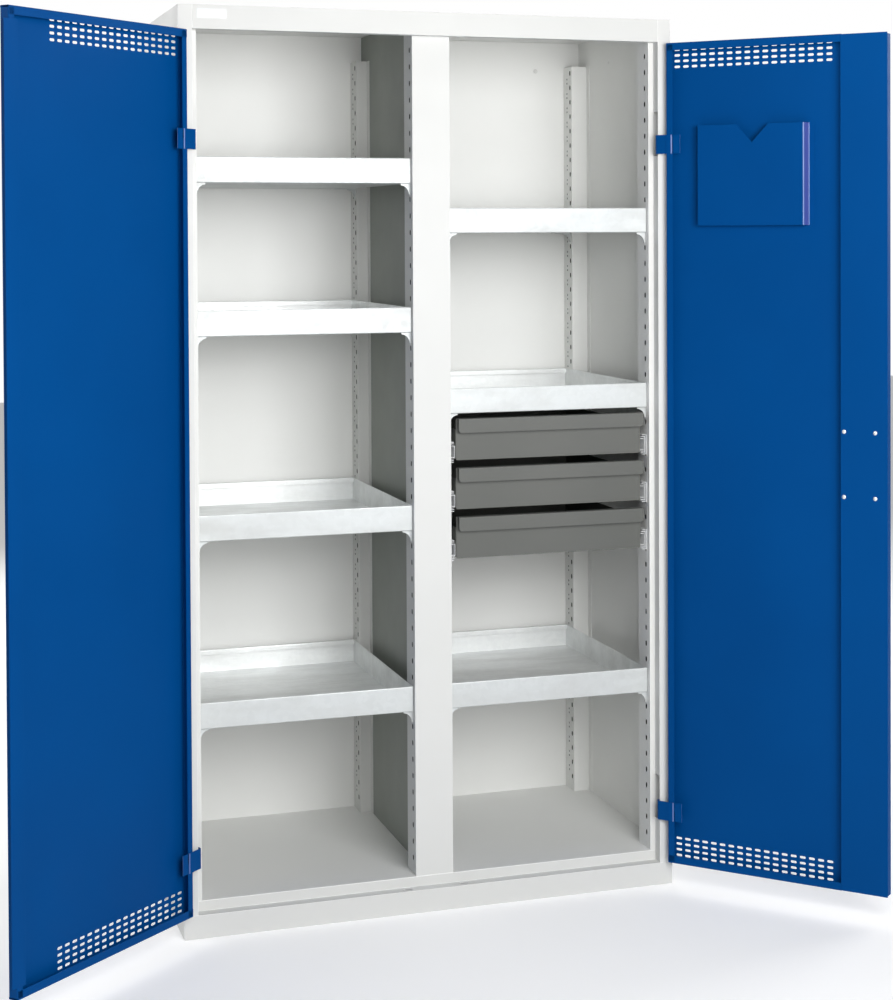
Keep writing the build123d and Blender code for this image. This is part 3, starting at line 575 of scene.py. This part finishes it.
def domeTree():
    # Domed rivet heads, one at each corner of a rectangle
    tree, take, output = newTree("rivetHeads", (
        ("Across", "Float", 0.07), ("Up", "Float", 0.14), ("Centre", "Vector", None),
        ("Radius", "Float", 0.005), ("Rise", "Float", 0.0025), ("Material", "Material", None)))
    grid = addNode(tree, "MeshGrid", Size_X=take["Across"], Size_Y=take["Up"], Vertices_X=2, Vertices_Y=2)
    moved = addNode(tree, "Transform", Geometry=grid.outputs[0], Translation=take["Centre"])
    ball = addNode(tree, "MeshUVSphere", Segments=20, Rings=12, Radius=1.0)
    size = addVector(tree, take["Radius"], take["Radius"], take["Rise"])
    endTree(tree, take, output, spotInstances(tree, moved.outputs[0], ball.outputs[0], Scale=size))
    return tree


def grown(tree, values, place):
    # Runs the tree once and returns its mesh, moved to its place
    seed = bpy.data.meshes.new("seed")
    carrier = bpy.data.objects.new("seed", seed)
    bpy.context.scene.collection.objects.link(carrier)
    modifier = carrier.modifiers.new("grow", "NODES")
    modifier.node_group = tree
    for item in tree.interface.items_tree:
        if item.item_type == "SOCKET" and item.in_out == "INPUT" and item.name in values:
            modifier[item.identifier] = values[item.name]
    bpy.context.view_layer.update()
    view = bpy.context.evaluated_depsgraph_get()
    mesh = bpy.data.meshes.new_from_object(carrier.evaluated_get(view))
    carrier.modifiers.remove(modifier)
    bpy.data.objects.remove(carrier)
    mesh.transform(place)
    if place.determinant() < 0:
        mesh.flip_normals()
    for face in mesh.polygons:
        face.material_index = 0
    return mesh


skinTree = perforatedSkinTree()
webTree = slottedWebTree()
rivetTree = domeTree()
print("node trees built")


uprightSizes = {"web": 0.060, "sheet": 0.0012, "front": 0.038, "rear": 0.538, "floor": 0.072,
                "tops": {"front": 1.928, "rear": 1.887}, "lip": 0.020, "skin": 0.0006, "rearReturn": 0.026,
                "slot": (0.0076, 0.0118), "inset": 0.012, "firstSlot": 0.107, "pitch": 0.036, "count": 50,
                "hole": 0.005, "holeInset": 0.034, "holeRise": 0.0119, "pairGap": 0.0102, "bend": 0.0012,
                "flat": 0.004, "darkFrom": 0.0008, "slotMargin": 0.001, "slotWall": 0.0001}
uprights = {
    "uprightLeftWallFront": ("upright_left_wall_front", -0.508, -0.549, "front"),
    "uprightLeftWallRear": ("upright_left_wall_rear", -0.508, -0.549, "rear"),
    "uprightLeftMiddleFront": ("upright_left_middle_front", -0.042, -0.014, "front"),
    "uprightLeftMiddleRear": ("upright_left_middle_rear", -0.042, -0.014, "rear"),
    "uprightRightMiddleFront": ("upright_right_middle_front", 0.042, 0.014, "front"),
    "uprightRightMiddleRear": ("upright_right_middle_rear", 0.042, 0.014, "rear"),
    "uprightRightWallFront": ("upright_right_wall_front", 0.508, 0.549, "front"),
    "uprightRightWallRear": ("upright_right_wall_rear", 0.508, 0.549, "rear"),
}


def makeUpright(name, node, webX, wallX, row):
    size = uprightSizes
    start = size[row]
    outward = 1 if wallX > webX else -1
    half = size["sheet"] / 2
    web, back, turn = webX + outward * half, wallX - outward * half, start + half
    lipEnd = start + size["lip"] if row == "front" else start - size["lip"]
    flat = start + size["flat"]  # the punched flat starts where the bend ends
    top = size["tops"][row]
    height = top - size["floor"]
    rear = start + size["web"] - half
    wide = rear - size["flat"] - flat
    place = Matrix.Translation((webX, 0, 0)) @ Matrix.Diagonal((outward, 1, 1, 1)) @ alongX
    plate = grown(webTree, {
        "Width": wide, "Height": height, "Centre": (flat + wide / 2, size["floor"] + height / 2, 0),
        "Thickness": size["skin"], "Slot Width": size["slot"][0], "Slot Height": size["slot"][1],
        "Hole": size["hole"], "Count": size["count"], "Pitch": size["pitch"],
        "Hole Count": size["count"] - 1 if row == "rear" else 0,
        "First Slot": (start + size["inset"], size["firstSlot"], 0),
        "First Hole": (start + size["holeInset"], size["firstSlot"] + size["holeRise"], 0),
        "Pair Gap": size["pairGap"], "Material": materials["panelWhite"]}, place)
    shape = bmesh.new()
    shape.from_mesh(plate)
    far = wallX if row == "front" else webX + outward * size["rearReturn"]
    for path in ([(web, flat), (web, turn), (back, turn), (back, lipEnd)],
                 [(far, rear), (web, rear), (web, rear - size["flat"])]):
        foldedSheet(shape, path, size["sheet"], size["floor"], top, Matrix.Identity(4), size["bend"])
    # painted shade: the shaded box behind the slots takes the near-black finish
    shape.normal_update()
    for face in shape.faces:
        spot, normal = face.calc_center_median(), face.normal
        within = start + size["darkFrom"] < spot.y < rear + half / 2 and size["floor"] < spot.z < top
        facesIn = normal.x * outward > facing or (normal.y < -facing and spot.y > rear - size["sheet"])
        amidSkin = abs(spot.x - webX - outward * size["skin"] / 2) < size["slotWall"]
        inSlot = flat + size["slotMargin"] < spot.y < flat + wide - size["slotMargin"]
        if within and (facesIn or (amidSkin and abs(normal.x) < facing and inSlot)):
            face.material_index = 1
    # painted shade: the uprights beside the partition in the left bay take the darker carcass grey, the
    # others the paler painted-light panel finish
    paint = "carcass_grey" if node.startswith("upright_left_middle") else "panelWhite"
    finishPiece(name, shape, (paint, "paintedShadeInside"), "carcass", (node,))


for uprightName, (uprightNode, webAt, wallAt, uprightRow) in uprights.items():
    makeUpright(uprightName, uprightNode, webAt, wallAt, uprightRow)
print("uprights punched and folded")


doorSizes = {"pivot": (0.535, 0.0055), "openLeft": 137.4, "openRight": 131.9, "edge": 0.0165,
             "free": 0.5335, "outer": -0.0025, "inner": 0.0195, "bottom": 0.055, "top": 1.896,
             "sheet": 0.001, "bend": 0.0012, "flat": 0.004, "hole": (0.014, 0.0055),
             "pitch": (0.02125, 0.0128), "count": (18, 4), "start": 0.018, "inset": 0.014,
             "lockBox": 0.4285, "lip": 0.016, "hem": 0.0172, "freeLip": 0.014, "freeGap": 0.0018}


def leafPlace(side):
    # Local x runs along the open leaf, local y into its depth, local z up
    size = doorSizes
    angle = math.radians(size["openLeft"] if side < 0 else size["openRight"])
    along = Vector((-side * math.cos(angle), -math.sin(angle), 0))
    up = Vector((0, 0, 1))
    depth = up.cross(along) * -side
    place = Matrix((along, depth, up)).transposed().to_4x4()
    place.translation = (side * size["pivot"][0], size["pivot"][1], 0)
    return place


def facePlace(side):
    # Local x along the open leaf, local y up, local z into its depth
    return leafPlace(side) @ standing


def makeLeaf(name, node, side, body, freePath, hemEnd):
    size = doorSizes
    half = size["sheet"] / 2
    inset = size["flat"]
    left, right = size["edge"] + inset, size["free"] - inset
    low, high = size["bottom"] + inset, size["top"] - inset
    holeWide, holeHigh = size["hole"]
    pitchAcross, pitchUp = size["pitch"]
    columns, rows = size["count"]
    rise = pitchUp * (rows - 1) / 2
    across = size["edge"] + size["start"] + pitchAcross * (columns - 1) / 2
    plate = grown(skinTree, {
        "Width": right - left, "Height": high - low, "Centre": ((left + right) / 2, (low + high) / 2, 0),
        "Thickness": size["sheet"], "Hole Width": holeWide, "Hole Height": holeHigh, "Columns": columns,
        "Rows": rows, "Pitch Across": pitchAcross, "Pitch Up": pitchUp,
        "Lower Field": (across, size["bottom"] + size["inset"] + rise, 0),
        "Upper Field": (across, size["top"] - size["inset"] - rise, 0),
        "Material": materials["door_blue"]}, facePlace(side) @ Matrix.Translation((0, 0, size["outer"])))
    shape = bmesh.new()
    shape.from_mesh(plate)
    skin, rim = size["outer"] + half, size["inner"] - half
    plan = leafPlace(side)
    post = size["edge"] + half
    for path in ([(size["edge"] + size["lip"], rim), (post, rim), (post, skin), (left, skin)],
                 [(right, skin), (size["free"] - half, skin), *freePath]):
        foldedSheet(shape, path, size["sheet"], low, high, plan, size["bend"])
    # the top and bottom returns fold in the leaf's depth and run along it
    for edge, inward in ((size["bottom"], 1), (size["top"], -1)):
        wall = edge + inward * half
        hem = [(skin, edge + inward * inset), (skin, wall), (rim, wall), (rim, edge + inward * size["hem"])]
        foldedSheet(shape, hem, size["sheet"], post, hemEnd, plan @ alongX, size["bend"])
    finishPiece(name, shape, ("door_blue",), body, (node,))


freeEdge = doorSizes["free"] - doorSizes["sheet"] / 2
rimDepth = doorSizes["inner"] - doorSizes["sheet"] / 2
makeLeaf("doorLeafLeft", "door_panel_left", -1, "door_left",
         [(freeEdge, rimDepth), (doorSizes["free"] - doorSizes["freeLip"], rimDepth)], freeEdge)
makeLeaf("doorLeafRight", "door_panel_right", 1, "door_right",
         [(freeEdge, doorSizes["inner"] - doorSizes["freeGap"])], doorSizes["lockBox"])
print("door leaves folded")


rivetSizes = {"across": 0.070, "up": 0.140, "along": 0.471, "level": 0.975, "sink": 0.0003, "radius": 0.0048,
              "rise": 0.0022}


def makeRivets():
    size = rivetSizes
    shape = bmesh.new()
    shape.from_mesh(grown(rivetTree, {
        "Across": size["across"], "Up": size["up"],
        "Centre": (size["along"], size["level"], doorSizes["inner"] - size["sink"]),
        "Radius": size["radius"], "Rise": size["rise"], "Material": materials["rivetZinc"]}, facePlace(1)))
    finishPiece("lockCaseRivets", shape, ("rivetZinc",), "door_right", smooth=True)


makeRivets()
print("rivets set")


clipSizes = {"thick": 0.0036, "drop": 0.024, "reach": 0.021, "steps": 9, "lip": 0.0032, "hook": 0.014,
             "web": 0.0014, "arcFrom": 0.003, "arcTop": 0.004, "webs": (0.042, 0.508), "front": 0.050,
             "rear": 0.550, "shelf": 0.050, "shelfWide": 0.012, "shelfThick": 0.0015, "trayLift": 0.0175,
             "trayHigh": 0.055, "firstSlot": 1.871, "pitch": 0.036, "slotHigh": 0.0115}
trayRows = {"left": (7, 16, 28, 39), "right": (10, 21, 39)}


def makeClips(name, node, side, rows):
    size = clipSizes
    reach, drop, arcFrom, web = size["reach"], size["drop"], size["arcFrom"], size["web"]
    middle, outside = size["webs"]
    shelf = [(0, -size["shelfThick"]), (size["shelf"], -size["shelfThick"]), (size["shelf"], 0), (0, 0)]
    arc = []
    for step in range(size["steps"] + 1):
        angle = math.pi / 2 * step / size["steps"]
        arc.append((reach - (reach - arcFrom) * math.cos(angle),
                    -drop + (drop - size["arcTop"]) * math.sin(angle)))
    shape = bmesh.new()
    for slot in rows:
        top = size["firstSlot"] - size["pitch"] * slot + size["trayLift"] - size["trayHigh"]
        seat = size["firstSlot"] - size["pitch"] * (slot + 1) - size["slotHigh"] / 2 - top
        arm = [(-size["lip"], 0), (-size["lip"], -size["hook"]), (-web, -size["hook"]), (-web, seat),
               (0, seat), (0, -drop), *arc, (reach, 0)]
        for webX, toward in ((side * middle, side), (side * outside, -side)):
            for y in (size["front"], size["rear"]):
                for outline, thick in ((arm, size["thick"]), (shelf, size["shelfWide"])):
                    if outline is arm or y == size["rear"]:
                        spot = Matrix.Translation((webX, y - thick / 2, top))
                        turn = Matrix.Diagonal((toward, 1, 1, 1))
                        solidPlate(shape, outline, spot @ turn @ standing, thick)
    finishPiece(name, shape, ("galvanised",), "carcass", (node,))


makeClips("clipsLeft", "tray_clips_left", -1, trayRows["left"])
makeClips("clipsRight", "tray_clips_right", 1, trayRows["right"])
print("tray clips hooked in")


drawerSizes = {"tops": (1.0665, 0.9585, 0.8505), "face": (0.058, 0.492), "high": 0.092, "faceY": 0.045,
               "faceCorner": 0.003, "grip": (0.060, 0.4945), "gripDrop": 0.031, "gripY": 0.0285,
               "gripTop": 0.005, "corner": 0.008, "hem": 0.004, "hemBend": 0.0001, "sheet": 0.001,
               "bend": 0.0012}


def makeDrawerFront(number, top):
    size = drawerSizes
    sheet, half = size["sheet"], size["sheet"] / 2
    shape = bmesh.new()
    lip, high, hem = size["gripY"] + half, top - half, top - size["gripDrop"]
    left, right = size["grip"]
    face = roundedOutline(*size["face"], top - size["high"], top - sheet, size["faceCorner"], 4, True)
    grip = roundedOutline(left, right, hem, top - size["gripTop"], size["corner"], 7, True)
    for outline, depth in ((face, size["faceY"]), (grip, size["gripY"])):
        solidPlate(shape, outline, Matrix.Translation((0, depth, 0)) @ standing, sheet)
    foldedSheet(shape, [(lip, top - size["gripTop"]), (lip, high), (size["faceY"] + sheet, high)], sheet,
                left, right, alongX, size["bend"])
    foldedSheet(shape, [(lip, hem + sheet), (lip, hem + half), (lip + size["hem"], hem + half)], sheet,
                left + size["corner"], right - size["corner"], alongX, size["hemBend"], 1)
    finishPiece(f"drawerFront{number}", shape, ("drawer_anthracite",), f"drawer_{number}",
                (f"drawer_{number}_front",))


for drawerNumber, drawerTop in enumerate(drawerSizes["tops"], 1):
    makeDrawerFront(drawerNumber, drawerTop)
print("drawer fronts folded")


dimpleSizes = {"radius": 0.0055, "rise": 0.0012, "wall": (0.5487, 0.387, 1.888),
               "back": (0.434, 0.5987, 1.878)}


def makeDimples():
    size = dimpleSizes
    rise, radius = size["rise"], size["radius"]
    shape = bmesh.new()
    # painted highlight: the dimple on the side wall takes the highlight grey; the one on the back panel
    # takes the carcass grey
    for spot, spans, finish in ((size["wall"], (rise, radius, radius), 1),
                                (size["back"], (radius, rise, radius), 0)):
        place = Matrix.Translation(spot) @ Matrix.Diagonal((*spans, 1))
        made = bmesh.ops.create_uvsphere(shape, u_segments=20, v_segments=12, radius=1.0, matrix=place)
        for face in {face for vert in made["verts"] for face in vert.link_faces}:
            face.material_index = finish
    finishPiece("wallDimples", shape, ("carcass_grey", "rubbedGrey"), "carcass", smooth=True)


makeDimples()
print("dimples pressed")


traySizes = {"lift": 0.0175, "high": 0.055, "front": 0.041, "back": 0.590, "inner": 0.043, "outer": 0.507,
             "sheet": 0.001, "bend": 0.001, "lip": 0.009, "hem": 0.0115, "edge": 0.0026, "edgeDrop": 0.008}


def makeTray(name, node, side, row):
    size = traySizes
    half = size["sheet"] / 2
    top = clipSizes["firstSlot"] - clipSizes["pitch"] * row + size["lift"]
    rim, low = top - half, top - size["high"] + half
    front, back = size["front"] + half, size["back"] - half
    left, right = sorted((side * size["inner"], side * size["outer"]))
    edge, lip = front + size["edge"], back - size["lip"]
    shape = bmesh.new()
    path = [(edge, top - size["edgeDrop"]), (edge, rim), (front, rim), (front, low), (back, low),
            (back, rim), (lip, rim), (lip, top - size["hem"])]
    foldedSheet(shape, path, size["sheet"], left, right, alongX, size["bend"])
    wall = [(front + half, low + half), (back - half, low + half), (back - half, rim), (front + half, rim)]
    for wallX in (left, right - size["sheet"]):
        solidPlate(shape, wall, Matrix.Translation((wallX, 0, 0)) @ alongX, size["sheet"])
    # painted light: faces turned up, towards the tray's hollow or forward behind its front edge take a paler
    # zinc
    shape.normal_update()
    for face in shape.faces:
        spot, normal = face.calc_center_median(), face.normal
        inward = abs(normal.x) > facing and left + half < spot.x < right - half
        if normal.z > facing or inward or (normal.y < -facing and spot.y > edge + half):
            face.material_index = 1
    finishPiece(name, shape, ("galvanised", "paintedLightTrayZinc"), "carcass", (node,))


for bay, (side, rows) in {"left": (-1, trayRows["left"]), "right": (1, trayRows["right"])}.items():
    for number, row in enumerate(rows, 1):
        makeTray(f"tray{bay.capitalize()}{number}", f"tray_{bay}_{number}", side, row)
print("trays folded")


tailSizes = {"path": ((0.0172, 0.0219), (0.0298, 0.0219), (0.0312, 0.0208), (0.0513, 0.0208)),
             "sheet": 0.001, "bend": 0.0016, "bottoms": (0.150, 1.649), "high": 0.042,
             "paintedHighlight": (0.0180, 0.0512)}


def makeTails(name, side, body):
    # The flat ends of the two hinge straps, joggled onto the leaf
    size = tailSizes
    shape = bmesh.new()
    plan = leafPlace(side)
    # painted highlight: the bends and both ends of each tail take the lighter blue
    for low in size["bottoms"]:
        foldedSheet(shape, size["path"], size["sheet"], low, low + size["high"], plan, size["bend"], 3, 1)
    for face in shape.faces:
        spot = plan.inverted() @ face.calc_center_median()
        if not size["paintedHighlight"][0] <= spot.x <= size["paintedHighlight"][1]:
            face.material_index = 1
    finishPiece(name, shape, ("door_blue", "rubbedBlue"), body)


makeTails("strapTailsLeft", -1, "door_left")
makeTails("strapTailsRight", 1, "door_right")
print("strap tails folded")


pocketSizes = {"left": 0.0925, "right": 0.3515, "flange": 0.014, "base": -0.0015, "front": 0.019,
               "low": 1.488, "high": 1.710, "sheet": 0.001, "bend": 0.0018, "slope": (0.0068, 0.0030),
               "notch": ((0.094, 0), (0.131, 0.040), (0.170, 0)), "sideFrom": 0.0003,
               "sideDepth": (0.0015, 0.002)}


def makePocket():
    size = pocketSizes
    left, right, half = size["left"], size["right"], size["sheet"] / 2
    base, front, low, high = size["base"], size["front"], size["low"], size["high"]
    plan = leafPlace(1)
    shape = bmesh.new()
    inset = size["bend"] + size["sheet"]
    crest, foot = (right - back for back in size["slope"])
    near = [(left, base), (left, front), (left + inset, front)]
    far = [(crest - inset, front), (crest, front), (foot, base + half), (foot + size["flange"], base + half)]
    # painted highlight: the bends of the far fold take the lighter blue
    for path, bendFinish in ((near, 0), (far, 1)):
        foldedSheet(shape, path, size["sheet"], low, high, plan, size["bend"], 4, bendFinish)
    # painted highlight: the sloping side, where it catches the light, takes a lighter blue
    for face in shape.faces:
        spot = plan.inverted() @ face.calc_center_median()
        inDepth = size["sideDepth"][0] < spot.y < front - size["sideDepth"][1]
        if crest + size["sideFrom"] < spot.x < foot and inDepth:
            face.material_index = 2
    outline = [(left + inset, low), (crest - inset, low), (crest - inset, high)]
    outline += [(left + x, high - drop) for x, drop in reversed(size["notch"])]
    outline += [(left + inset, high)]
    solidPlate(shape, outline, facePlace(1) @ Matrix.Translation((0, 0, front - half)), size["sheet"])
    floor = [(left, base), (foot, base), (crest, front), (left, front)]
    solidPlate(shape, floor, plan @ Matrix.Translation((0, 0, low)), size["sheet"])
    finishPiece("documentPocket", shape, ("door_blue", "rubbedBlue", "paintedHighlightSideBlue"), "door_right",
                ("document_pocket",))


makePocket()
print("document pocket folded")


plateSizes = {"left": -0.511, "right": -0.449, "low": 1.922, "high": 1.942, "rise": 0.0007, "corner": 0.002,
              "rimFrom": 0.0006, "bevel": 0.0003}


def makePlate():
    size = plateSizes
    shape = bmesh.new()
    outline = roundedOutline(size["left"], size["right"], size["low"], size["high"], size["corner"], 4)
    solidPlate(shape, outline, standing, -size["rise"])
    rim = [edge for edge in shape.edges if all(vert.co.y < -size["rimFrom"] for vert in edge.verts)]
    bmesh.ops.bevel(shape, geom=rim, offset=size["bevel"], segments=2, affect="EDGES")
    finishPiece("headerPlate", shape, ("barePlate",), "carcass")


makePlate()
print("label plate set")


# What a node's name starts with decides its paint, its edges with painted highlight and their width
nodePaints = {"partition": "partitionGrey", "side_panel": "sidePaint", "back_panel": "panelWhite",
              "top_panel": "panelWhite", "floor_panel": "panelWhite"}
highlightEdges = {"hinge_straps": "rubbedBlue", "header": "rubbedGrey", "sill": "rubbedGrey",
               "centre_post": "rubbedGrey", "side_panel": "rubbedGrey"}
edgeWidths = {"side_panel": 0.00045, "header": 0.00045, "sill": 0.00045, "centre_post": 0.00045,
              "drawer": 0.00045, "hinge_straps": 0.0008, "lock_box_cover": 0.00045, "handle": 0.0012}
edgeSetup = {"width": 0.0003, "segments": 2, "sharpest": 35, "weld": 0.00001}


def chosen(node, choices, usual):
    return next((choice for start, choice in choices.items() if node.startswith(start)), usual)


def dressNode(node, thing):
    setup = edgeSetup
    paintedHighlight = chosen(node, highlightEdges, None)
    thing.data.materials.clear()
    thing.data.materials.append(materials[chosen(node, nodePaints, slotOf[node])])
    weld = thing.modifiers.new("weld", "WELD")
    weld.merge_threshold = setup["weld"]
    bevel = thing.modifiers.new("softEdges", "BEVEL")
    bevel.width = chosen(node, edgeWidths, setup["width"])
    bevel.segments = setup["segments"]
    bevel.limit_method = "ANGLE"
    bevel.angle_limit = math.radians(setup["sharpest"])
    # painted highlight: the bevel faces take a lighter copy of the paint
    if paintedHighlight:
        thing.data.materials.append(materials[paintedHighlight])
        bevel.material = 1


for nodeName, nodeThing in nodes.items():
    if not nodeThing.hide_render:
        dressNode(nodeName, nodeThing)
print("nodes dressed")
